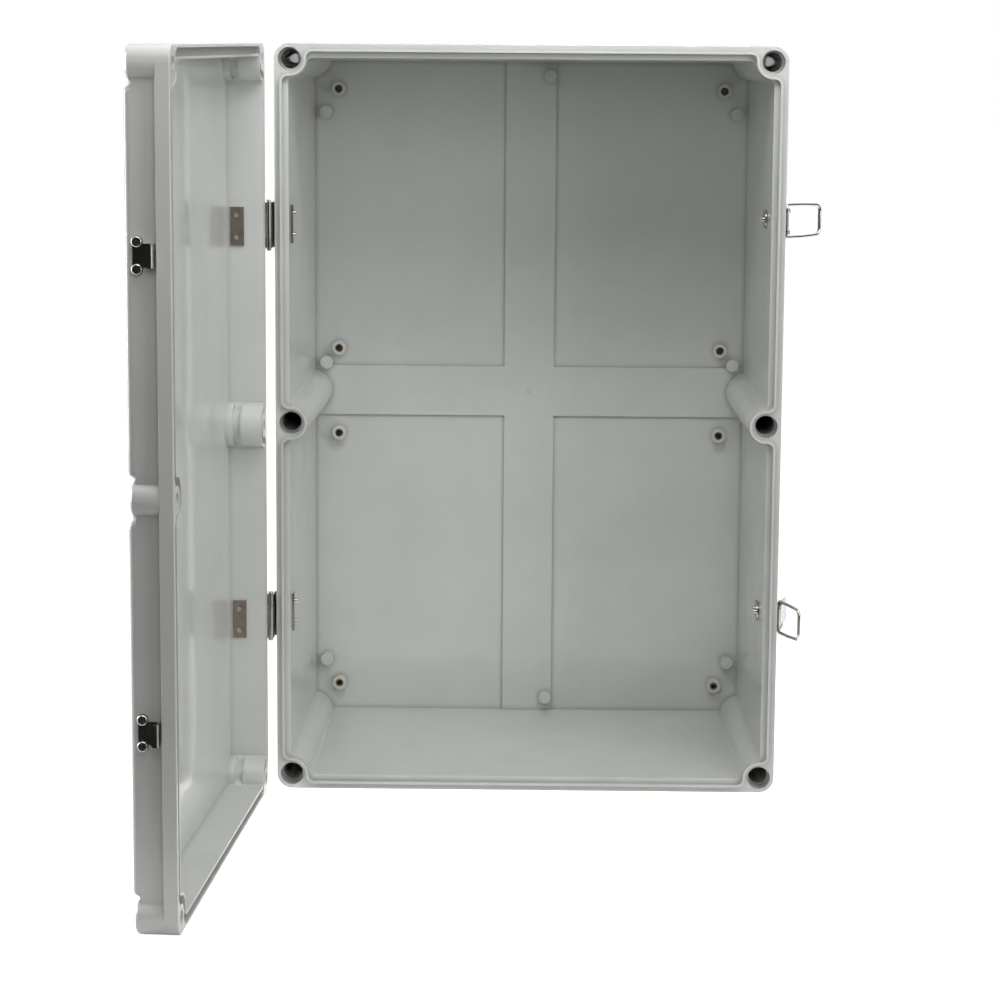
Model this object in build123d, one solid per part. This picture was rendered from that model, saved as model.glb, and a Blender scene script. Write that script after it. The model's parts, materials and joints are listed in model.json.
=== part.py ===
from build123d import *
import math
import os

# Hinged polycarbonate enclosure standing upright with its lid open like a door, in millimetres.
# The origin is the centre of the back face, X runs to the right, Y into the wall and Z up.
# "out" is measured outwards from the flange's side face, "back" backwards from the base's rim plane,
# and "deep" from the lid's rim plane towards the lid's outer face.

# Flange outline, shared by the base and the lid
flange_width = 412.0
flange_height = 612.0
well_inset = 12.5
column_step = 0.05
rim_gap = 0.4

# Base housing
base_depth = 237.0
base_flange = 10.5
base_recess = 7.0
base_wall = 4.5
back_wall = 5.0
draft_deg = 1.0
ledge_drop = 1.5
ledge_at_well = 0.6
cavity_corner = 5.0
flange_edge = 0.8
well_mouth_r = 9.35
well_mouth_depth = 12.0
well_bore_r = 7.75
well_floor = 6.0
wall_hole_r = 3.75

# Sealing tongue on the base, and the groove and gasket in the lid
tongue_inset = 5.6
tongue_width = 2.0
tongue_height = 3.4
tongue_well_r = 12.5
tongue_corner = 6.0
groove_width = 6.0
groove_depth = 6.5
groove_lip = 1.8
gasket_clear = 0.3
gasket_side = 0.05

# Back wall features: bands, insert bosses and support pegs
band_width = 44.0
band_height = 2.2
gate_r = 2.4
gate_depth = 0.6
boss_r = 6.1
boss_height = 9.0
boss_side_inset = 37.0
boss_end_inset = 40.0
boss_middle = 38.0
insert_r = 3.5
insert_length = 8.0
insert_bore_r = 2.1
insert_fit = 0.03
peg_r = 5.5
peg_height = 9.0
peg_side_inset = 25.7
peg_top_inset = 60.0
peg_middle = 25.0
peg_bottom_inset = 61.5
middle_peg_x = 16.7
middle_peg_inset = 28.0

# Lid housing
lid_open_deg = 93.45
lid_flange = 10.4
lid_recess = 6.0
lid_depth = 33.0
pad_below = 5.8
column_below = 2.6
lid_column_edge = 1.5
lid_skin = 3.5
pad_skin = 3.4
lid_step_depth = 17.0
lid_step_well_r = 14.5
panel_notch_r = 14.8
panel_notch_corner = 5.0
panel_edge = 4.5
lid_hole_r = 5.0
lid_hole_mouth_r = 7.0
lid_hole_mouth_depth = 8.0

# Sheet metal, screws and pins
sheet = 1.5
thin_sheet = 1.2
bend_r = 1.6
screw_r = 2.0
screw_clear = 0.1
seam_deg = 33.0
screw_head_r = 3.75
screw_head_height = 2.4
screw_head_edge = 1.2
recess_length = 4.4
recess_width = 1.0
recess_depth = 1.3
screw_end = 2.5
pin_clear = 0.05
backing = 1.5

# Hinges on the left
hinge_z = 160.5
hinge_width = 37.0
hinge_out = 5.0
hinge_back = 1.2
knuckle = 17.4
knuckle_gap = 0.3
hinge_pin_r = 1.5
pin_tip_r = 2.3
pin_tip = 2.0
pin_tip_edge = 1.2
leaf_reach = 2.1
leaf_jog = 2.2
leaf_foot = 12.5
hinge_screw_pitch = 17.7
hinge_screw_from_end = 6.0
hinge_backing_width = 11.0
hinge_backing_height = 31.0

# Latches on the right
latch_z = 163.6
latch_lift = 2.4
lever_pin_out = 2.1
lever_pin_back = 15.0
lever_pin_r = 1.5
bail_out = 1.9
bail_back = 23.5
bracket_front = 12.0
bracket_length = 49.0
bracket_width = 17.2
lug_r = 2.8
lug_root = 10.0
lever_gap = 0.3
lever_ear_r = 2.6
lever_bail_ear_r = 3.2
lever_plate_from_bail = 4.5
lever_plate_length = 20.0
lever_plate_out = 3.0
lever_tail = 12.0
lever_tail_lift = 1.4
lever_tail_corner = 5.0
rivet_head_r = 2.3
rivet_head = 0.3
latch_screw_from_front = 30.0
latch_screw_pitch = 12.0
latch_backing_length = 26.0
latch_backing_height = 15.0
latch_backing_corner = 7.3
wire_r = 1.45
bail_length = 39.0
bail_half = 13.1
bail_far_half = 12.1
bail_straight = 18.0
bail_foot_bend = 2.4
bail_far_bend = 5.0
bail_soft_bend = 20.0
tube_wall = 0.55
tube_end_gap = 1.1
bail_drop = 0.5
bail_foot = 6.0
upper_lever_deg = 0.0
lower_lever_deg = 10.0
upper_bail_deg = 130.5
lower_bail_deg = 20.0

# Keepers on the lid's free side
hook_gap = 0.6
hook_lip = 2.0
hook_corner = 3.4
keeper_width = 16.0
keeper_foot_below = 5.7
keeper_screw_below = 8.8
keeper_screw_pitch = 18.6
keeper_ear_r = 4.0
keeper_backing_width = 6.4
keeper_backing_height = 28.0

# Places worked out from the sizes above
rim_y = -base_depth
column_r = well_inset - column_step
well_x = flange_width / 2 - well_inset
well_z = flange_height / 2 - well_inset
wells = [(i * well_x, k * well_z) for i in (-1, 1) for k in (-1, 0, 1)]
corner_wells = [w for w in wells if w[1]]
slope = math.tan(math.radians(draft_deg))
cavity_inset = base_recess + base_wall
cavity_floor = base_depth - back_wall
cavity_well_r = tongue_well_r + tongue_width / 2 + ledge_at_well
lid_wall_inset = tongue_inset + groove_width / 2 + groove_lip
lid_wall = lid_wall_inset - lid_recess
lid_floor = lid_depth - lid_skin
lid_pad_depth = lid_depth - pad_below
lid_column_depth = lid_depth - column_below
keeper_foot_deep = lid_depth - keeper_foot_below
keeper_screw_deep = lid_depth - keeper_screw_below
boss_x = flange_width / 2 - boss_side_inset
boss_end_z = flange_height / 2 - boss_end_inset
peg_x = flange_width / 2 - peg_side_inset
barrel_r = hinge_pin_r + pin_clear + sheet
tube_bore_r = wire_r + pin_clear
tube_r = tube_bore_r + tube_wall
lug_face = bracket_width / 2
ear_face = lug_face + lever_gap
lever_half = ear_face + thin_sheet


def left(out, back):
    return (-(flange_width / 2 + out), rim_y + back)


def right(out, back):
    return (flange_width / 2 + out, rim_y + back)


def lid_back(deep):
    return -rim_gap - deep


# Planes that face the front, at a distance behind the base's rim or deep in the closed lid
def base_plane(back):
    return Plane(origin=(0, rim_y + back, 0), x_dir=(1, 0, 0), z_dir=(0, -1, 0))


def rear_plane(back):
    return Plane(origin=(0, rim_y + back, 0), x_dir=(1, 0, 0), z_dir=(0, 1, 0))


def lid_plane(deep):
    return base_plane(lid_back(deep))


hinge_axis = Axis((*left(hinge_out, hinge_back), 0), (0, 0, 1))


def opened(piece):
    return piece.rotate(hinge_axis, -lid_open_deg)


# Inset rectangle that runs round the inside of every screw well
def rim_outline(inset, well_r, corner):
    flat = Rectangle(flange_width - 2 * inset, flange_height - 2 * inset)
    flat -= [Pos(*w) * Circle(well_r) for w in wells]
    return fillet(flat.vertices(), corner)


# The same outline, kept parallel to the sealing tongue's centre line
def seal_outline(outwards):
    return offset(rim_outline(tongue_inset, tongue_well_r, tongue_corner), outwards)


def seal_ring(width):
    return seal_outline(width / 2) - seal_outline(-width / 2)


def flange_plate(thick, edge):
    plate = extrude(RectangleRounded(flange_width, flange_height, well_inset), thick)
    loops = plate.faces().sort_by(Axis.Z)[0].edges() + plate.faces().sort_by(Axis.Z)[-1].edges()
    return fillet(loops, edge)


# Cylinders along the depth, on a front-facing plane
def studs(plane, places, radius, length):
    return [plane * Pos(x, z, length / 2) * Cylinder(radius, length) for x, z in places]


# Hole through a side wall, its seam turned away from the walls' own edges
def side_hole(side, back, z, reach):
    x, y = side(0, back)
    return Pos(x, y, z) * Rot(0, 90, 0) * Rot(0, 0, seam_deg) * Cylinder(screw_r + screw_clear, 2 * reach)


def boss_places():
    rows = (boss_end_z, boss_middle, -boss_middle, -boss_end_z)
    return [(i * boss_x, z) for i in (-1, 1) for z in rows]


def peg_places():
    rows = (flange_height / 2 - peg_top_inset, peg_middle, -(flange_height / 2 - peg_bottom_inset))
    sides = [(i * peg_x, z) for i in (-1, 1) for z in rows]
    middle_z = flange_height / 2 - middle_peg_inset
    return sides + [(middle_peg_x, middle_z), (middle_peg_x, -middle_z)]


# Where the hinge and latch screws pass through the walls
hinge_levels = (hinge_z, -hinge_z)
latch_levels = (latch_lift + latch_z, latch_lift - latch_z)
base_foot_back = base_flange + leaf_reach + leaf_jog
base_leaf_end = base_foot_back + leaf_foot
base_screw_back = base_leaf_end - hinge_screw_from_end
lid_foot_deep = lid_flange + leaf_reach + leaf_jog
lid_leaf_end = lid_foot_deep + leaf_foot
lid_screw_deep = lid_leaf_end - hinge_screw_from_end
hinge_screw_steps = (-hinge_screw_pitch / 2, hinge_screw_pitch / 2)
latch_screw_backs = [bracket_front + latch_screw_from_front + i * latch_screw_pitch for i in (0, 1)]
keeper_screw_steps = (-keeper_screw_pitch / 2, keeper_screw_pitch / 2)


# Distance from the flange's side face in to the drafted walls
def outer_wall_in(back):
    return base_recess + slope * back


def inner_wall_in(back):
    return cavity_inset + slope * (back - ledge_drop)


def base_housing():
    width, height = flange_width - 2 * base_recess, flange_height - 2 * base_recess
    shrink = slope * base_depth
    walls = Wedge(width, base_depth, height, shrink, shrink, width - shrink, height - shrink, align=Align.MIN)
    body = Pos(-width / 2, rim_y, -height / 2) * walls
    body += studs(base_plane(base_depth), wells, column_r, base_depth - base_flange / 2)
    body += base_plane(base_flange) * flange_plate(base_flange, flange_edge)
    body += extrude(base_plane(base_flange / 2) * seal_ring(tongue_width), base_flange / 2 + tongue_height)
    body -= extrude(base_plane(ledge_drop) * seal_outline(-tongue_width / 2), ledge_drop + tongue_height)
    hollow = rim_outline(cavity_inset, cavity_well_r, cavity_corner)
    body -= extrude(rear_plane(ledge_drop) * hollow, cavity_floor - ledge_drop, taper=draft_deg)
    floor = base_plane(cavity_floor)
    cross_x = flange_width - 2 * cavity_inset
    cross_z = flange_height - 2 * cavity_inset
    body += floor * Pos(0, 0, band_height / 2) * Box(band_width, cross_z, band_height)
    body += floor * Pos(0, 0, band_height / 2) * Box(cross_x, band_width, band_height)
    body -= floor * Pos(0, 0, band_height - gate_depth / 2) * Cylinder(gate_r, gate_depth)
    body += studs(floor, boss_places(), boss_r, boss_height)
    body += studs(floor, peg_places(), peg_r, peg_height)
    tip = base_plane(cavity_floor - boss_height + insert_length)
    body -= studs(tip, boss_places(), insert_r, insert_length)
    body -= studs(base_plane(well_mouth_depth), wells, well_mouth_r, well_mouth_depth)
    body -= studs(base_plane(base_depth - well_floor), wells, well_bore_r, base_depth - well_floor)
    body -= studs(base_plane(base_depth), corner_wells, wall_hole_r, base_depth)
    reach = inner_wall_in(base_leaf_end) + backing
    body -= [side_hole(left, base_screw_back, z + s, reach) for z in hinge_levels for s in hinge_screw_steps]
    body -= [side_hole(right, b, z, reach) for z in latch_levels for b in latch_screw_backs]
    return body


def plate_inserts():
    tip = base_plane(cavity_floor - boss_height + insert_length)
    shells = studs(tip, boss_places(), insert_r - insert_fit, insert_length)
    bores = studs(tip, boss_places(), insert_bore_r, insert_length)
    return Compound(children=[shell - bore for shell, bore in zip(shells, bores)])


def lid_housing():
    outline = Rectangle(flange_width - 2 * lid_recess, flange_height - 2 * lid_recess)
    body = lid_plane(0) * flange_plate(lid_flange, flange_edge)
    body += extrude(lid_plane(lid_flange / 2) * outline, lid_pad_depth - lid_flange / 2)
    panel_outline = outline - [Pos(*w) * Circle(panel_notch_r) for w in wells]
    panel_outline = fillet(panel_outline.vertices(), panel_notch_corner)
    panel = extrude(panel_outline, lid_depth - lid_flange)
    panel = fillet(panel.faces().sort_by(Axis.Z)[-1].edges(), panel_edge)
    body += lid_plane(lid_flange) * panel
    column = Cylinder(column_r, lid_column_depth - lid_flange / 2)
    column = chamfer(column.faces().sort_by(Axis.Z)[-1].edges(), lid_column_edge)
    middle = lid_plane((lid_column_depth + lid_flange / 2) / 2)
    body += [middle * Pos(*w) * column for w in wells]
    body -= extrude(lid_plane(0) * seal_outline(-groove_width / 2 - groove_lip), lid_floor)
    step = rim_outline(lid_wall_inset, lid_step_well_r, tongue_corner)
    body -= extrude(lid_plane(lid_step_depth) * step, lid_pad_depth - pad_skin - lid_step_depth)
    body -= extrude(lid_plane(0) * seal_ring(groove_width), groove_depth)
    body -= studs(lid_plane(0), wells, lid_hole_r, lid_column_depth)
    mouth = lid_plane(lid_column_depth - lid_hole_mouth_depth)
    body -= studs(mouth, wells, lid_hole_mouth_r, lid_hole_mouth_depth)
    reach = lid_wall_inset + backing
    hinge_back_at = lid_back(lid_screw_deep)
    keeper_back_at = lid_back(keeper_screw_deep)
    body -= [side_hole(left, hinge_back_at, z + s, reach) for z in hinge_levels for s in hinge_screw_steps]
    body -= [side_hole(right, keeper_back_at, z + s, reach) for z in latch_levels for s in keeper_screw_steps]
    return body


def lid_gasket():
    height = groove_depth - (tongue_height - rim_gap + gasket_clear)
    return extrude(lid_plane(groove_depth - height) * seal_ring(groove_width - 2 * gasket_side), height)


# Sheet bent along a path in plan and as wide as the two levels, centred on the height z
def bent_sheet(points, thick, low, high, z):
    profile = trace(FilletPolyline(*points, radius=bend_r), thick)
    return extrude(Pos(0, 0, z + low) * profile, high - low, dir=(0, 0, 1))


def upright(place, z, radius, low, high):
    return Pos(*place, z + (low + high) / 2) * Cylinder(radius, high - low)


def plan_box(corner_a, corner_b, z, low, high):
    width = abs(corner_b[0] - corner_a[0])
    length = abs(corner_b[1] - corner_a[1])
    middle = ((corner_a[0] + corner_b[0]) / 2, (corner_a[1] + corner_b[1]) / 2)
    return Pos(*middle, z + (low + high) / 2) * Box(width, length, high - low)


# Flat leaf, joggled round the flange: the strip runs beside the flange and the foot lies on the wall
def hinge_leaf(flange, wall_in, at_back, z, knuckles, clear_levels):
    half = hinge_width / 2
    strip = hinge_out - barrel_r + sheet / 2
    foot = sheet / 2 - wall_in
    axis_place = left(hinge_out, hinge_back)
    route = [
        axis_place[1],
        left(0, at_back(flange + leaf_reach))[1],
        left(0, at_back(flange + leaf_reach + leaf_jog))[1],
        left(0, at_back(flange + leaf_reach + leaf_jog + leaf_foot))[1],
    ]
    outs = (strip, strip, foot, foot)
    points = [(left(out, 0)[0], y) for out, y in zip(outs, route)]
    leaf = bent_sheet(points, sheet, -half, half, z)
    clear = barrel_r + knuckle_gap
    corner_a = (axis_place[0] - clear, axis_place[1] - clear)
    corner_b = (axis_place[0] + clear, axis_place[1] + clear)
    leaf -= [plan_box(corner_a, corner_b, z, low, high) for low, high in clear_levels]
    leaf += [upright(axis_place, z, barrel_r, low, high) for low, high in knuckles]
    leaf -= upright(axis_place, z, hinge_pin_r + pin_clear, -half, half)
    return leaf


def base_leaf(z):
    half, inner = hinge_width / 2, knuckle / 2 + knuckle_gap
    ends = [(-half, -inner), (inner, half)]
    wall_in = outer_wall_in(base_foot_back)
    leaf = hinge_leaf(base_flange, wall_in, lambda back: back, z, ends, [(-inner, inner)])
    leaf -= [side_hole(left, base_screw_back, z + s, 2 * base_recess) for s in hinge_screw_steps]
    return leaf


def lid_leaf(z):
    half, inner = hinge_width / 2, knuckle / 2
    spaces = [(-half, -inner), (inner, half)]
    leaf = hinge_leaf(lid_flange, lid_recess, lid_back, z, [(-inner, inner)], spaces)
    leaf -= [side_hole(left, lid_back(lid_screw_deep), z + s, 2 * lid_recess) for s in hinge_screw_steps]
    return leaf


def hinge_pin(z):
    half = hinge_width / 2 + knuckle_gap
    place = left(hinge_out, hinge_back)
    tip = fillet(Cylinder(pin_tip_r, pin_tip).faces().sort_by(Axis.Z)[-1].edges(), pin_tip_edge)
    pin = upright(place, z, hinge_pin_r, -half, half)
    pin += Pos(*place, z + half + pin_tip / 2) * tip
    pin += Pos(*place, z - half - pin_tip / 2) * Rot(180, 0, 0) * tip
    return pin


# Strip inside a wall, drilled for the screws that pass through it
def backing_plate(side, wall_in, back, width, height, z, holes, corner=0.0):
    near, far = side(-wall_in, back - width / 2), side(-wall_in - backing, back + width / 2)
    plate = plan_box(near, far, z, -height / 2, height / 2)
    if corner:
        plate = fillet(plate.edges().filter_by(Axis.X), corner)
    return plate - [side_hole(side, b, z + s, wall_in + 2 * backing) for b, s in holes]


def base_hinge_backing(z):
    wall_in = inner_wall_in(base_screw_back + hinge_backing_width / 2)
    holes = [(base_screw_back, s) for s in hinge_screw_steps]
    return backing_plate(left, wall_in, base_screw_back, hinge_backing_width, hinge_backing_height, z, holes)


def lid_hinge_backing(z):
    back = lid_back(lid_screw_deep)
    holes = [(back, s) for s in hinge_screw_steps]
    return backing_plate(left, lid_wall_inset, back, hinge_backing_width, hinge_backing_height, z, holes)


def latch_backing(z):
    middle = (latch_screw_backs[0] + latch_screw_backs[1]) / 2
    wall_in = inner_wall_in(middle + latch_backing_length / 2)
    holes = [(b, 0) for b in latch_screw_backs]
    size = (latch_backing_length, latch_backing_height)
    return backing_plate(right, wall_in, middle, *size, z, holes, latch_backing_corner)


def keeper_backing(z):
    back = lid_back(keeper_screw_deep)
    holes = [(back, s) for s in keeper_screw_steps]
    return backing_plate(right, lid_wall_inset, back, keeper_backing_width, keeper_backing_height, z, holes)


# Pan-head screw with a cross recess, driven in from outside, from the sheet's outer face to just past
# the backing; each stops at its own angle
def pan_screw(side, back, z, head_in, end_in):
    head = Pos(0, 0, screw_head_height / 2) * Cylinder(screw_head_r, screw_head_height)
    head = fillet(head.faces().sort_by(Axis.Z)[-1].edges(), screw_head_edge)
    length = end_in - head_in
    screw = head + Pos(0, 0, -length / 2) * Cylinder(screw_r, length)
    slot = Pos(0, 0, screw_head_height) * Box(recess_length, recess_width, 2 * recess_depth)
    screw = Rot(0, 0, (7 * z + 13 * back) % 90) * (screw - slot - Rot(0, 0, 90) * slot)
    x, y = side(-head_in, back)
    outward = (math.copysign(1, x), 0, 0)
    return Plane(origin=(x, y, z), x_dir=(0, 0, 1), z_dir=outward) * screw


def hinge_base_screws():
    head_in = outer_wall_in(base_foot_back) - sheet
    end_in = inner_wall_in(base_leaf_end) + backing + screw_end
    places = [(base_screw_back, z + s) for z in hinge_levels for s in hinge_screw_steps]
    return Compound(children=[pan_screw(left, b, z, head_in, end_in) for b, z in places])


def hinge_lid_screws():
    end_in = lid_wall_inset + backing + screw_end
    places = [(lid_back(lid_screw_deep), z + s) for z in hinge_levels for s in hinge_screw_steps]
    screws = [pan_screw(left, b, z, lid_recess - sheet, end_in) for b, z in places]
    return Compound(children=[opened(screw) for screw in screws])


def latch_screws():
    head_in = outer_wall_in(bracket_front) - thin_sheet
    end_in = inner_wall_in(latch_screw_backs[1]) + backing + screw_end
    places = [(b, z) for z in latch_levels for b in latch_screw_backs]
    return Compound(children=[pan_screw(right, b, z, head_in, end_in) for b, z in places])


def keeper_screws():
    end_in = lid_wall_inset + backing + screw_end
    places = [(lid_back(keeper_screw_deep), z + s) for z in latch_levels for s in keeper_screw_steps]
    screws = [pan_screw(right, b, z, lid_recess - sheet, end_in) for b, z in places]
    return Compound(children=[opened(screw) for screw in screws])


lever_pin_place = right(lever_pin_out, lever_pin_back)
bail_place = right(bail_out, bail_back)


def mirrored_ears(profile, inner, outer, z):
    upper = extrude(Pos(0, 0, z + inner) * profile, outer - inner, dir=(0, 0, 1))
    lower = extrude(Pos(0, 0, z - outer) * profile, outer - inner, dir=(0, 0, 1))
    return upper + lower


# Base plate of a latch: a foot on the wall with two lugs for the lever's pin
def latch_bracket(z):
    wall_in = outer_wall_in(bracket_front)
    half = bracket_width / 2
    foot = plan_box(right(-wall_in, bracket_front),
                    right(thin_sheet - wall_in, bracket_front + bracket_length), z, -half, half)
    root = Line(right(-wall_in, bracket_front), right(-wall_in, bracket_front + lug_root))
    eye = Pos(*lever_pin_place) * Circle(lug_r)
    lug = make_hull(eye.edges() + root.edges())
    bracket = foot + mirrored_ears(lug, lug_face - thin_sheet, lug_face, z)
    bracket -= upright(lever_pin_place, z, lever_pin_r + pin_clear, -lever_half, lever_half)
    return bracket - [side_hole(right, b, z, 2 * base_recess) for b in latch_screw_backs]


def lever_pin(z):
    half = lever_half + pin_clear
    pin = upright(lever_pin_place, z, lever_pin_r, -half, half)
    pin += upright(lever_pin_place, z, rivet_head_r, half, half + rivet_head)
    return pin + upright(lever_pin_place, z, rivet_head_r, -half - rivet_head, -half)


# Sheet lever, drawn closed: two ears carry the pins, and a plate joins them and ends in a lifted tail
def latch_lever(z, angle):
    plate_back = bail_back + lever_plate_from_bail
    bend_back = plate_back + lever_plate_length
    tail_back = bend_back + lever_tail
    points = [
        right(lever_plate_out, plate_back),
        right(lever_plate_out, bend_back),
        right(lever_plate_out + lever_tail_lift, tail_back),
    ]
    plate = bent_sheet(points, thin_sheet, -lever_half, lever_half, z)
    length = 2 * (tail_back - lever_pin_back)
    plan = RectangleRounded(length, 2 * lever_half, lever_tail_corner)
    pin_x, pin_y = lever_pin_place
    trim_plane = Plane(origin=(pin_x, pin_y, z), x_dir=(0, 1, 0), z_dir=(1, 0, 0))
    lever = plate & extrude(trim_plane * plan, length, both=True)
    eyes = [Pos(*lever_pin_place) * Circle(lever_ear_r), Pos(*bail_place) * Circle(lever_bail_ear_r)]
    seam = Line(right(lever_plate_out - thin_sheet / 2, bend_back), right(lever_plate_out + thin_sheet / 2, bend_back))
    ear = make_hull(eyes[0].edges() + eyes[1].edges() + seam.edges())
    lever += mirrored_ears(ear, ear_face, lever_half, z)
    lever -= upright(lever_pin_place, z, lever_pin_r + pin_clear, -lever_half, lever_half)
    lever -= upright(bail_place, z, tube_r + pin_clear, -lever_half, lever_half)
    return lever.rotate(Axis((*lever_pin_place, 0), (0, 0, 1)), -angle)


def bail_place_at(lever_angle):
    turned = Vector(bail_out - lever_pin_out, bail_back - lever_pin_back, 0).rotate(Axis.Z, -lever_angle)
    return right(lever_pin_out + turned.X, lever_pin_back + turned.Y)


def bail_tube(z, lever_angle):
    place = bail_place_at(lever_angle)
    half = bail_half - bail_foot_bend - tube_end_gap
    return upright(place, z, tube_r, -half, half) - upright(place, z, tube_bore_r, -half, half)


# Wire loop, drawn pointing forwards from its tube, whose bent-in feet turn inside the tube; it hangs down
# as far as its play lets it
def latch_bail(z, lever_angle, angle):
    x, y = bail_place_at(lever_angle)
    z -= bail_drop
    side = [(0, bail_foot), (0, bail_half), (bail_straight, bail_half), (bail_length, bail_far_half)]
    loop = side + [(f, -h) for f, h in reversed(side)]
    bends = [bail_foot_bend, bail_soft_bend, bail_far_bend]
    points = [(x, y - f, z + h) for f, h in loop]
    path = FilletPolyline(*points, radius=bends + bends[::-1])
    wire = sweep(Plane(origin=points[0], z_dir=(0, 0, 1)) * Circle(wire_r), path=path)
    return wire.rotate(Axis((x, y, 0), (0, 0, 1)), angle)


# Keeper, drawn with the lid closed: a foot on the wall, a tab past the flange and a lip with rounded
# corners over the bail's bar
def keeper(z):
    bar_deep = bail_length - bail_back - rim_gap
    tab_deep = bar_deep - wire_r - hook_gap - sheet / 2
    lip_out = bail_out + wire_r + hook_gap + sheet / 2
    foot_out = sheet / 2 - lid_recess
    points = [
        right(foot_out, lid_back(keeper_foot_deep)),
        right(foot_out, lid_back(tab_deep)),
        right(lip_out, lid_back(tab_deep)),
        right(lip_out, lid_back(bar_deep + hook_lip)),
    ]
    half = keeper_width / 2
    hook = bent_sheet(points, sheet, -half, half, z)
    for end in (-1, 1):
        lip_x, lip_y = right(lip_out, lid_back(bar_deep + hook_lip))
        corner = Pos(lip_x, lip_y, z + end * half) * Box(2 * sheet, 2 * hook_corner, 2 * hook_corner)
        middle = Pos(lip_x, lip_y + hook_corner, z + end * (half - hook_corner))
        hook -= corner - middle * Rot(0, 90, 0) * Cylinder(hook_corner, 4 * sheet)
    x, y = right(foot_out, lid_back(keeper_screw_deep))
    ears = [Pos(x, y, z + s) * Rot(0, 90, 0) * Cylinder(keeper_ear_r, sheet) for s in keeper_screw_steps]
    trim = plan_box(right(-lid_recess, lid_back(0)), right(0, lid_back(keeper_foot_deep)), z, -half * 2, half * 2)
    hook += [ear & trim for ear in ears]
    holes = [side_hole(right, lid_back(keeper_screw_deep), z + s, 2 * lid_recess) for s in keeper_screw_steps]
    return hook - holes


def build_all():
    parts = {
        "base_housing": base_housing(),
        "plate_inserts": plate_inserts(),
        "lid_housing": opened(lid_housing()),
        "lid_gasket": opened(lid_gasket()),
        "hinge_base_screws": hinge_base_screws(),
        "hinge_lid_screws": hinge_lid_screws(),
        "latch_screws": latch_screws(),
        "keeper_screws": keeper_screws(),
    }
    for level, z in zip(("upper", "lower"), hinge_levels):
        parts[f"{level}_hinge_base_leaf"] = base_leaf(z)
        parts[f"{level}_hinge_lid_leaf"] = opened(lid_leaf(z))
        parts[f"{level}_hinge_pin"] = hinge_pin(z)
        parts[f"{level}_hinge_base_backing"] = base_hinge_backing(z)
        parts[f"{level}_hinge_lid_backing"] = opened(lid_hinge_backing(z))
    poses = ((upper_lever_deg, upper_bail_deg), (lower_lever_deg, lower_bail_deg))
    for level, z, (lever_deg, bail_deg) in zip(("upper", "lower"), latch_levels, poses):
        parts[f"{level}_latch_bracket"] = latch_bracket(z)
        parts[f"{level}_lever_pin"] = lever_pin(z)
        parts[f"{level}_latch_lever"] = latch_lever(z, lever_deg)
        parts[f"{level}_bail_tube"] = bail_tube(z, lever_deg)
        parts[f"{level}_latch_bail"] = latch_bail(z, lever_deg, bail_deg)
        parts[f"{level}_latch_backing"] = latch_backing(z)
        parts[f"{level}_keeper"] = opened(keeper(z))
        parts[f"{level}_keeper_backing"] = opened(keeper_backing(z))
    return parts


os.makedirs("parts", exist_ok=True)
for name, piece in build_all().items():
    export_step(piece, f"parts/{name}.step")
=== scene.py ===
import json
import math

import bpy
from mathutils import Matrix, Vector


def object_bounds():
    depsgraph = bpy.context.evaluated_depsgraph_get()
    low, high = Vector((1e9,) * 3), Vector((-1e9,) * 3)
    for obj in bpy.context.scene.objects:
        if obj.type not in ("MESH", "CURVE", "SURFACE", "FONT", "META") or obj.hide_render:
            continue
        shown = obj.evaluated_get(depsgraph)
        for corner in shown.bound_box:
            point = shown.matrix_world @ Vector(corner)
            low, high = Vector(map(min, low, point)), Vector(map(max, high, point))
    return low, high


# Hinged polycarbonate enclosure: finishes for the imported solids, the photograph's camera and a white studio
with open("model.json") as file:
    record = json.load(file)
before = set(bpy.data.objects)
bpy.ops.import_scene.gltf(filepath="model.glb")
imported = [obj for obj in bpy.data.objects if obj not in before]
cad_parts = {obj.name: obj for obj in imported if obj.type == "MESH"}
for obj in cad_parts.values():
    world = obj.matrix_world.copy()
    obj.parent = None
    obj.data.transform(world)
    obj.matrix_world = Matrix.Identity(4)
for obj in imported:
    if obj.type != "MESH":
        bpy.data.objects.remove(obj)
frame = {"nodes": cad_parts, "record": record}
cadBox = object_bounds()
nodes = frame["nodes"]
scene = bpy.context.scene
scene.view_settings.view_transform = "Standard"
print("frame loaded:", len(nodes), "nodes")


# sRGB hex to linear
def hexColour(code):
    channels = [int(code[i:i + 2], 16) / 255 for i in (1, 3, 5)]
    linear = [c / 12.92 if c <= 0.04045 else ((c + 0.055) / 1.055) ** 2.4 for c in channels]
    return (*linear, 1.0)


def addNode(tree, kind, settings=None, inputs=None):
    node = tree.nodes.new(kind)
    for name, value in (settings or {}).items():
        setattr(node, name, value)
    for name, value in (inputs or {}).items():
        if isinstance(value, bpy.types.NodeSocket):
            tree.links.new(value, node.inputs[name])
        else:
            node.inputs[name].default_value = value
    return node


def newMaterial(name):
    material = bpy.data.materials.new(name)
    material.use_nodes = True
    tree = material.node_tree
    tree.nodes.clear()
    shader = addNode(tree, "ShaderNodeBsdfPrincipled")
    addNode(tree, "ShaderNodeOutputMaterial", None, {"Surface": shader.outputs["BSDF"]})
    place = addNode(tree, "ShaderNodeTexCoord").outputs["Object"]
    return material, tree, shader, place


# Cycles per metre for a pattern whose features are this many millimetres wide
def perMetre(millimetres):
    return 1000.0 / millimetres


noiseLow, noiseHigh = 0.3, 0.7    # most of a noise texture's values lie between these

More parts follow.
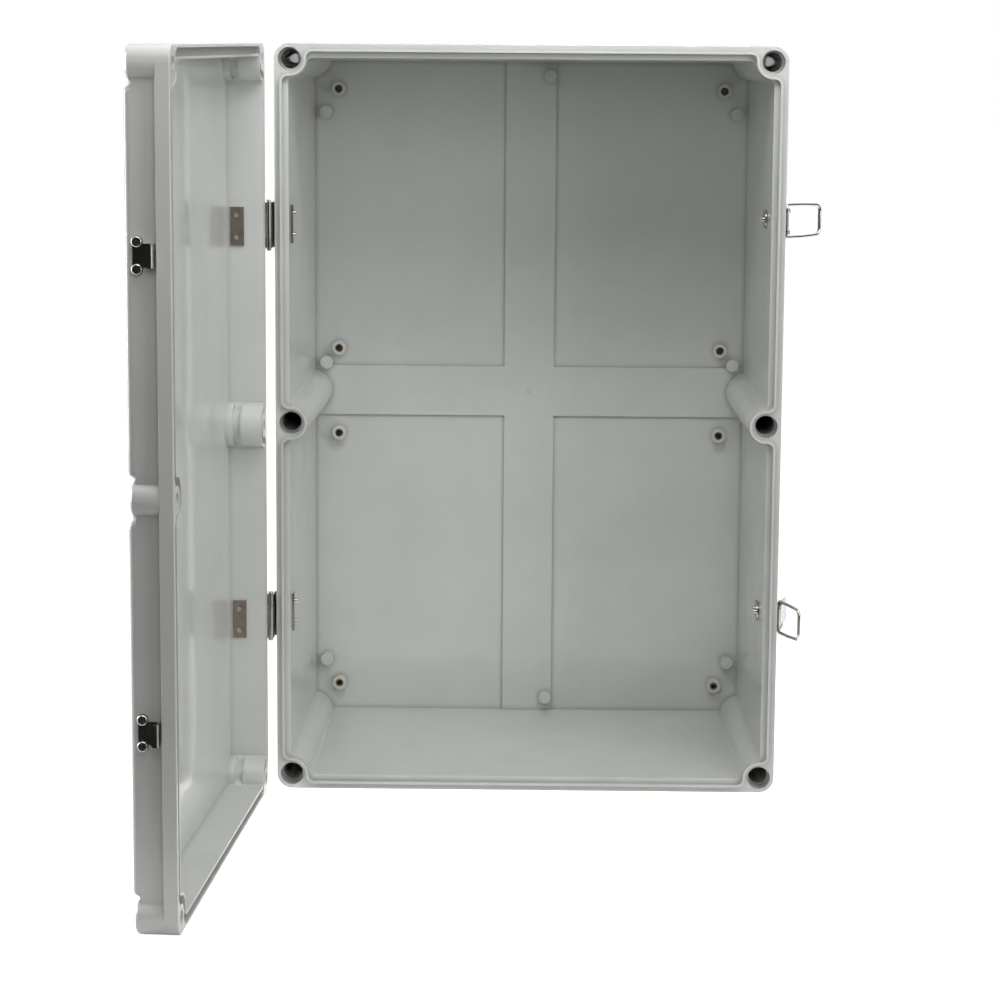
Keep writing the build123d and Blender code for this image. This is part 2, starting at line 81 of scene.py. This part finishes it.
mould = {
    "colour": "#D2D4D1",
    "ior": 1.585,
    "roughLow": 0.28,         # the fine texture under the gloss
    "roughHigh": 0.38,
    "skinWeight": 0.45,       # the gloss itself, as a thin clear skin
    "skinRough": 0.045,
    "smudge": "#CCCECA",      # faint handling marks
    "smudgeSize": 90.0,       # mm
    "smudgeBreak": 0.62,      # how ragged the marks are
    "smudgeEnd": 0.6,         # the noise value from which a wall is unmarked
    "creaseReach": 0.005,     # m, how far the painted shade runs out of a moulded corner
    "creaseSamples": 8,
    "creaseShut": 0.45,       # how open a corner is that gets the darkest painted shade
    "creaseOpen": 0.97,       # and a face that gets none
    "creaseRough": 1.3,       # roughness added for each unit of tone lost to the painted crease shade
    "flowSize": 160.0,        # mm, slow waviness of a large moulded wall
    "flowBump": 0.12,
    "flowHeight": 0.004,      # m
    "grainSize": 0.9,         # mm, real mould texture is near 0.1, drawn coarser so that it shows
    "grainBump": 0.02,
    "grainHeight": 0.0004,    # m
}


# Injection-moulded polycarbonate: light grey and dense, with a soft gloss, faint handling marks, painted
# shade in its corners and creases, which also turn rougher there, and large walls that are never quite flat
def mouldedPolycarbonate(name, creaseShadeTone):
    material, tree, shader, place = newMaterial(name)
    marks = addNode(tree, "ShaderNodeTexNoise", None,
                    {"Vector": place, "Scale": perMetre(mould["smudgeSize"]), "Detail": 6.0,
                     "Roughness": mould["smudgeBreak"]})
    tone = addNode(tree, "ShaderNodeValToRGB", None, {"Fac": marks.outputs["Fac"]})
    marked, unmarked = tone.color_ramp.elements
    marked.position = noiseLow
    marked.color = hexColour(mould["smudge"])
    unmarked.position = mould["smudgeEnd"]
    unmarked.color = hexColour(mould["colour"])
    gloss = addNode(tree, "ShaderNodeMapRange", None,
                    {"Value": marks.outputs["Fac"], "From Min": noiseLow, "From Max": noiseHigh,
                     "To Min": mould["roughHigh"], "To Max": mould["roughLow"]})
    # Painted shade: ambient occlusion darkens the base colour in corners and creases, where shade falls, and
    # adds roughness there
    corner = addNode(tree, "ShaderNodeAmbientOcclusion",
                     {"samples": mould["creaseSamples"], "only_local": True},
                     {"Distance": mould["creaseReach"]})
    shade = addNode(tree, "ShaderNodeMapRange", None,
                    {"Value": corner.outputs["AO"], "From Min": mould["creaseShut"],
                     "From Max": mould["creaseOpen"], "To Min": creaseShadeTone, "To Max": 1.0})
    paintedShadeColour = addNode(tree, "ShaderNodeVectorMath", {"operation": "SCALE"},
                     {0: tone.outputs["Color"], "Scale": shade.outputs["Result"]})
    paintedShadeAmount = addNode(tree, "ShaderNodeMath", {"operation": "SUBTRACT"}, {0: 1.0, 1: shade.outputs["Result"]})
    matt = addNode(tree, "ShaderNodeMath", {"operation": "MULTIPLY_ADD"},
                   {0: paintedShadeAmount.outputs[0], 1: mould["creaseRough"], 2: gloss.outputs["Result"]})
    flow = addNode(tree, "ShaderNodeTexNoise", None,
                   {"Vector": place, "Scale": perMetre(mould["flowSize"]), "Detail": 1.0})
    wave = addNode(tree, "ShaderNodeBump", None,
                   {"Height": flow.outputs["Fac"], "Strength": mould["flowBump"],
                    "Distance": mould["flowHeight"]})
    grain = addNode(tree, "ShaderNodeTexNoise", None,
                    {"Vector": place, "Scale": perMetre(mould["grainSize"]), "Detail": 2.0})
    skin = addNode(tree, "ShaderNodeBump", None,
                   {"Height": grain.outputs["Fac"], "Strength": mould["grainBump"],
                    "Distance": mould["grainHeight"], "Normal": wave.outputs["Normal"]})
    tree.links.new(paintedShadeColour.outputs["Vector"], shader.inputs["Base Color"])
    tree.links.new(matt.outputs[0], shader.inputs["Roughness"])
    tree.links.new(skin.outputs["Normal"], shader.inputs["Normal"])
    tree.links.new(wave.outputs["Normal"], shader.inputs["Coat Normal"])
    shader.inputs["IOR"].default_value = mould["ior"]
    shader.inputs["Coat Weight"].default_value = mould["skinWeight"]
    shader.inputs["Coat Roughness"].default_value = mould["skinRough"]
    return material


steel = {
    "roughLow": 0.10,
    "roughHigh": 0.24,
    "lineSize": 0.5,          # mm between rolling lines, real ones are nearer 0.05
    "lineStretch": 0.04,      # the lines run along Z
    "lineBump": 0.03,
    "lineHeight": 0.0002,     # m
    "patchSize": 14.0,        # mm, uneven polish
}


# Polished stainless sheet: bright and cool, with faint rolling lines and an uneven polish
def polishedStainless(name, colour, dull):
    material, tree, shader, place = newMaterial(name)
    stretched = addNode(tree, "ShaderNodeMapping", None,
                        {"Vector": place, "Scale": (1.0, 1.0, steel["lineStretch"])})
    lines = addNode(tree, "ShaderNodeTexNoise", None,
                    {"Vector": stretched.outputs["Vector"], "Scale": perMetre(steel["lineSize"]),
                     "Detail": 2.0})
    patches = addNode(tree, "ShaderNodeTexNoise", None,
                      {"Vector": place, "Scale": perMetre(steel["patchSize"]), "Detail": 4.0})
    tone = addNode(tree, "ShaderNodeMix", {"data_type": "RGBA"},
                   {"Factor": patches.outputs["Fac"], "A": hexColour(dull), "B": hexColour(colour)})
    gloss = addNode(tree, "ShaderNodeMapRange", None,
                    {"Value": lines.outputs["Fac"], "From Min": noiseLow, "From Max": noiseHigh,
                     "To Min": steel["roughLow"], "To Max": steel["roughHigh"]})
    rolled = addNode(tree, "ShaderNodeBump", None,
                     {"Height": lines.outputs["Fac"], "Strength": steel["lineBump"],
                      "Distance": steel["lineHeight"]})
    tree.links.new(tone.outputs["Result"], shader.inputs["Base Color"])
    tree.links.new(gloss.outputs["Result"], shader.inputs["Roughness"])
    tree.links.new(rolled.outputs["Normal"], shader.inputs["Normal"])
    shader.inputs["Metallic"].default_value = 1.0
    return material


nickel = {"colour": "#D2D0CD", "patchSize": 3.0}    # mm, uneven plating


# Nickel-plated screw steel and drawn bail wire: bright, with small changes in polish
def platedSteel(name, roughLow, roughHigh):
    material, tree, shader, place = newMaterial(name)
    patches = addNode(tree, "ShaderNodeTexNoise", None,
                      {"Vector": place, "Scale": perMetre(nickel["patchSize"]), "Detail": 3.0})
    gloss = addNode(tree, "ShaderNodeMapRange", None,
                    {"Value": patches.outputs["Fac"], "From Min": noiseLow, "From Max": noiseHigh,
                     "To Min": roughLow, "To Max": roughHigh})
    tree.links.new(gloss.outputs["Result"], shader.inputs["Roughness"])
    shader.inputs["Base Color"].default_value = hexColour(nickel["colour"])
    shader.inputs["Metallic"].default_value = 1.0
    return material


patchyMetals = {
    "turnedBrass": {"colour": "#A8926A", "dull": "#6E5C40", "patchSize": 2.5, "roughness": 0.32},    # mm
    "dullSteel": {"colour": "#B7AAA0", "dull": "#8E8279", "patchSize": 5.0, "roughness": 0.36},
}


# Turned brass, a little tarnished, and the bare steel strips inside the lid: brownish, dull and unpolished
def patchyMetal(name):
    look = patchyMetals[name]
    material, tree, shader, place = newMaterial(name)
    patches = addNode(tree, "ShaderNodeTexNoise", None,
                      {"Vector": place, "Scale": perMetre(look["patchSize"]), "Detail": 4.0})
    tone = addNode(tree, "ShaderNodeMix", {"data_type": "RGBA"},
                   {"Factor": patches.outputs["Fac"], "A": hexColour(look["dull"]),
                    "B": hexColour(look["colour"])})
    tree.links.new(tone.outputs["Result"], shader.inputs["Base Color"])
    shader.inputs["Metallic"].default_value = 1.0
    shader.inputs["Roughness"].default_value = look["roughness"]
    return material


foam = {
    "colour": "#A9ABA4",
    "pore": "#8B8D86",
    "poreSize": 0.8,          # mm
    "poreBump": 0.25,
    "poreDepth": 0.0003,      # m
    "roughness": 0.7,
}


# Foamed-in polyurethane gasket: grey, matt and finely pored
def gasketFoam():
    material, tree, shader, place = newMaterial("gasketFoam")
    pores = addNode(tree, "ShaderNodeTexNoise", None,
                    {"Vector": place, "Scale": perMetre(foam["poreSize"]), "Detail": 3.0})
    tone = addNode(tree, "ShaderNodeMix", {"data_type": "RGBA"},
                   {"Factor": pores.outputs["Fac"], "A": hexColour(foam["pore"]),
                    "B": hexColour(foam["colour"])})
    skin = addNode(tree, "ShaderNodeBump", None,
                   {"Height": pores.outputs["Fac"], "Strength": foam["poreBump"],
                    "Distance": foam["poreDepth"]})
    tree.links.new(tone.outputs["Result"], shader.inputs["Base Color"])
    tree.links.new(skin.outputs["Normal"], shader.inputs["Normal"])
    shader.inputs["Roughness"].default_value = foam["roughness"]
    return material


# The tone given with each polycarbonate finish is how dark its painted crease shade gets; the lid's is
# lighter
finishes = {
    "polycarbonate": mouldedPolycarbonate("mouldedPolycarbonate", creaseShadeTone=0.70),
    "stainless_sheet": polishedStainless("polishedStainless", colour="#C9C8C4", dull="#A9A7A2"),
    "screw_steel": platedSteel("platedSteel", roughLow=0.16, roughHigh=0.28),
    "brass": patchyMetal("turnedBrass"),
    "gasket": gasketFoam(),
}
# Nodes whose finish isn't the plain one of their slot
ownFinishes = {"lid_housing": mouldedPolycarbonate("lidPolycarbonate", creaseShadeTone=0.86)}
pairedFinishes = {
    "latch_bail": platedSteel("drawnWire", roughLow=0.04, roughHigh=0.10),
    "latch_lever": polishedStainless("coolStainless", colour="#B4B8C2", dull="#9DA1AB"),
    "hinge_lid_backing": patchyMetal("dullSteel"),
}
for level in ("upper", "lower"):
    for piece, finish in pairedFinishes.items():
        ownFinishes[f"{level}_{piece}"] = finish
for row in frame["record"]["subparts"]:
    slots = nodes[row["node"]].data.materials
    slots.clear()
    slots.append(ownFinishes.get(row["node"], finishes[row["material_slot"]]))
print("finishes:", ", ".join(finishes))


# The photograph's camera, found by fitting the flange's corners and wells
camera = {
    "place": (0.0047, -2.59293, 0.31199),    # m
    "pitch": 9.021,           # degrees
    "yaw": 0.662,
    "roll": 0.411,
    "lens": 105.04,           # mm
    "sensor": 36.0,
    "farthest": 50.0,         # m
}


def placeCamera():
    data = bpy.data.cameras.new("photoCamera")
    data.lens = camera["lens"]
    data.sensor_width = camera["sensor"]
    data.clip_end = camera["farthest"]
    shot = bpy.data.objects.new("photoCamera", data)
    scene.collection.objects.link(shot)
    turnDown = Matrix.Rotation(math.radians(camera["pitch"]), 3, "X")
    turnSide = Matrix.Rotation(math.radians(camera["yaw"]), 3, "Y")
    tilt = Matrix.Rotation(math.radians(camera["roll"]), 3, "Z")
    level = Matrix(((1, 0, 0), (0, 0, -1), (0, 1, 0)))    # right is X, down is -Z and ahead is Y
    right, down, ahead = (Vector(row) for row in tilt @ turnDown @ turnSide @ level)
    turned = Matrix((right, -down, -ahead)).transposed().to_4x4()
    shot.matrix_world = Matrix.Translation(camera["place"]) @ turned
    scene.camera = shot


placeCamera()
print("camera placed")


studio = {
    "floorFrom": -0.85,       # m, the floor's front edge
    "floorTo": 9.0,
    "floorHalf": 8.0,
    "floorColour": "#F4F4F2",
    "floorGlow": 0.95,        # the floor's own white by the object, low enough to leave a faint shadow
    "glowNear": 0.7,          # m from the origin, where the floor begins to turn fully white
    "glowFar": 1.7,
    "mirrorFrom": -0.7,       # m, the floor in front is as dark to a mirror as the room round the camera
    "mirrorTo": -0.2,
    "mirrorDark": 0.02,       # what polished metal sees on the camera's side
    "mirrorSide": 0.03,       # and level with it on the right
    "mirrorWhite": 1.0,
    "darkFront": (-0.8, -0.35),    # Y of a heading, from the dark camera side to the white sweep
    "darkRight": (0.6, 0.85),      # X of a heading, from the white sweep to the dark side
    "ambient": 0.01,
    "rim": 0.3,               # light from the white sweep behind and to the left
    "rimSpan": (0.2, 1.0),    # Y less X of a heading, over which that light grows
}


# 1 for what polished metal or glass shows, 0 for all else
def mirroredRays(tree, rays):
    return addNode(tree, "ShaderNodeMath", {"operation": "MAXIMUM"},
                   {0: rays.outputs["Is Glossy Ray"], 1: rays.outputs["Is Transmission Ray"]}).outputs[0]


# Pale matt floor that is white to the camera and keeps the object's shadow
def plainFloor():
    bpy.ops.object.select_all(action="DESELECT")
    lowest = cadBox[0][2]
    middle = (studio["floorFrom"] + studio["floorTo"]) / 2
    bpy.ops.mesh.primitive_plane_add(size=1.0, location=(0, middle, lowest))
    floor = bpy.context.object
    floor.name = "studioFloor"
    floor.scale = (2 * studio["floorHalf"], studio["floorTo"] - studio["floorFrom"], 1)
    bpy.ops.object.transform_apply(location=True, rotation=True, scale=True)
    material = bpy.data.materials.new("paleStudioFloor")
    material.use_nodes = True
    tree = material.node_tree
    tree.nodes.clear()
    rays = addNode(tree, "ShaderNodeLightPath")
    place = addNode(tree, "ShaderNodeTexCoord").outputs["Object"]
    split = addNode(tree, "ShaderNodeSeparateXYZ", None, {"Vector": place})
    back = addNode(tree, "ShaderNodeMapRange", None,
                   {"Value": split.outputs["Y"], "From Min": studio["mirrorFrom"],
                    "From Max": studio["mirrorTo"], "To Min": studio["mirrorDark"], "To Max": 1.0})
    shown = addNode(tree, "ShaderNodeMath", {"operation": "MULTIPLY"},
                    {0: mirroredRays(tree, rays), 1: back.outputs["Result"]})
    seen = addNode(tree, "ShaderNodeMath", {"operation": "MAXIMUM"},
                   {0: rays.outputs["Is Camera Ray"], 1: shown.outputs[0]})
    away = addNode(tree, "ShaderNodeVectorMath", {"operation": "LENGTH"}, {0: place})
    glow = addNode(tree, "ShaderNodeMapRange", None,
                   {"Value": away.outputs["Value"], "From Min": studio["glowNear"],
                    "From Max": studio["glowFar"], "To Min": studio["floorGlow"], "To Max": 1.0})
    level = addNode(tree, "ShaderNodeMath", {"operation": "MULTIPLY"},
                    {0: seen.outputs[0], 1: glow.outputs["Result"]})
    paint = addNode(tree, "ShaderNodeBsdfDiffuse", None, {"Color": hexColour(studio["floorColour"])})
    white = addNode(tree, "ShaderNodeEmission", None, {"Strength": level.outputs[0]})
    both = addNode(tree, "ShaderNodeAddShader", None,
                   {0: paint.outputs["BSDF"], 1: white.outputs["Emission"]})
    addNode(tree, "ShaderNodeOutputMaterial", None, {"Surface": both.outputs["Shader"]})
    floor.data.materials.append(material)


# White sweep behind and beside the object, and a dark room round the camera, which polished metal mirrors
def studioWorld():
    world = bpy.data.worlds.new("studioWorld")
    scene.world = world
    world.use_nodes = True
    tree = world.node_tree
    tree.nodes.clear()
    rays = addNode(tree, "ShaderNodeLightPath")
    heading = addNode(tree, "ShaderNodeTexCoord").outputs["Generated"]
    split = addNode(tree, "ShaderNodeSeparateXYZ", None, {"Vector": heading})
    smooth = {"interpolation_type": "SMOOTHSTEP"}
    dark, white = studio["darkFront"]
    sweep = addNode(tree, "ShaderNodeMapRange", smooth,
                    {"Value": split.outputs["Y"], "From Min": dark, "From Max": white,
                     "To Min": studio["mirrorDark"], "To Max": studio["mirrorWhite"]})
    white, dark = studio["darkRight"]
    rightSide = addNode(tree, "ShaderNodeMapRange", smooth,
                        {"Value": split.outputs["X"], "From Min": white, "From Max": dark,
                         "To Min": studio["mirrorWhite"], "To Max": studio["mirrorSide"]})
    sides = addNode(tree, "ShaderNodeMath", {"operation": "MINIMUM"},
                    {0: sweep.outputs["Result"], 1: rightSide.outputs["Result"]})
    across = addNode(tree, "ShaderNodeMath", {"operation": "SUBTRACT"},
                     {0: split.outputs["Y"], 1: split.outputs["X"]})
    faint, full = studio["rimSpan"]
    rim = addNode(tree, "ShaderNodeMapRange", smooth,
                  {"Value": across.outputs[0], "From Min": faint, "From Max": full,
                   "To Min": studio["ambient"], "To Max": studio["rim"]})
    room = addNode(tree, "ShaderNodeMix", {"data_type": "FLOAT"},
                   {"Factor": mirroredRays(tree, rays), "A": rim.outputs["Result"], "B": sides.outputs[0]})
    level = addNode(tree, "ShaderNodeMix", {"data_type": "FLOAT"},
                    {"Factor": rays.outputs["Is Camera Ray"], "A": room.outputs["Result"], "B": 1.0})
    glow = addNode(tree, "ShaderNodeBackground", None,
                   {"Color": (1.0, 1.0, 1.0, 1.0), "Strength": level.outputs["Result"]})
    addNode(tree, "ShaderNodeOutputWorld", None, {"Surface": glow.outputs["Background"]})


# Soft boxes: place, aim and size in metres, power in watts, and whether polished surfaces show them
softBoxes = {
    "topBox": {"place": (0.1, -0.95, 1.0), "aim": (0.0, -0.2, 0.1), "size": (1.0, 0.4), "power": 4.6,
               "mirrored": True},
    "overhead": {"place": (0.0, -0.2, 1.5), "aim": (0.0, -0.2, 0.0), "size": (1.2, 1.0), "power": 4.6,
                 "mirrored": True},
    "rightBox": {"place": (1.3, -1.3, 0.5), "aim": (-0.05, -0.25, 0.0), "size": (0.9, 0.9), "power": 10.0,
                 "mirrored": True},
    "frontFill": {"place": (-0.15, -1.3, 0.5), "aim": (-0.05, -0.2, 0.2), "size": (0.6, 0.4), "power": 1.8,
                  "mirrored": False},
    "rimStrip": {"place": (0.0, -0.5, 0.62), "aim": (0.0, -0.24, 0.3), "size": (0.7, 0.08), "power": 1.3,
                 "mirrored": False},
    "leftRim": {"place": (-1.6, -0.1, 0.3), "aim": (-0.3, -0.5, 0.0), "size": (0.5, 1.0), "power": 14.0,
                "mirrored": True},
}


def addSoftBoxes():
    for name, box in softBoxes.items():
        light = bpy.data.lights.new(name, "AREA")
        light.shape = "RECTANGLE"
        light.size, light.size_y = box["size"]
        light.energy = box["power"]
        lamp = bpy.data.objects.new(name, light)
        scene.collection.objects.link(lamp)
        lamp.visible_glossy = box["mirrored"]
        lamp.location = box["place"]
        towards = Vector(box["aim"]) - Vector(box["place"])
        lamp.rotation_euler = towards.to_track_quat("-Z", "Y").to_euler()


plainFloor()
studioWorld()
addSoftBoxes()
print("studio set:", ", ".join(softBoxes))
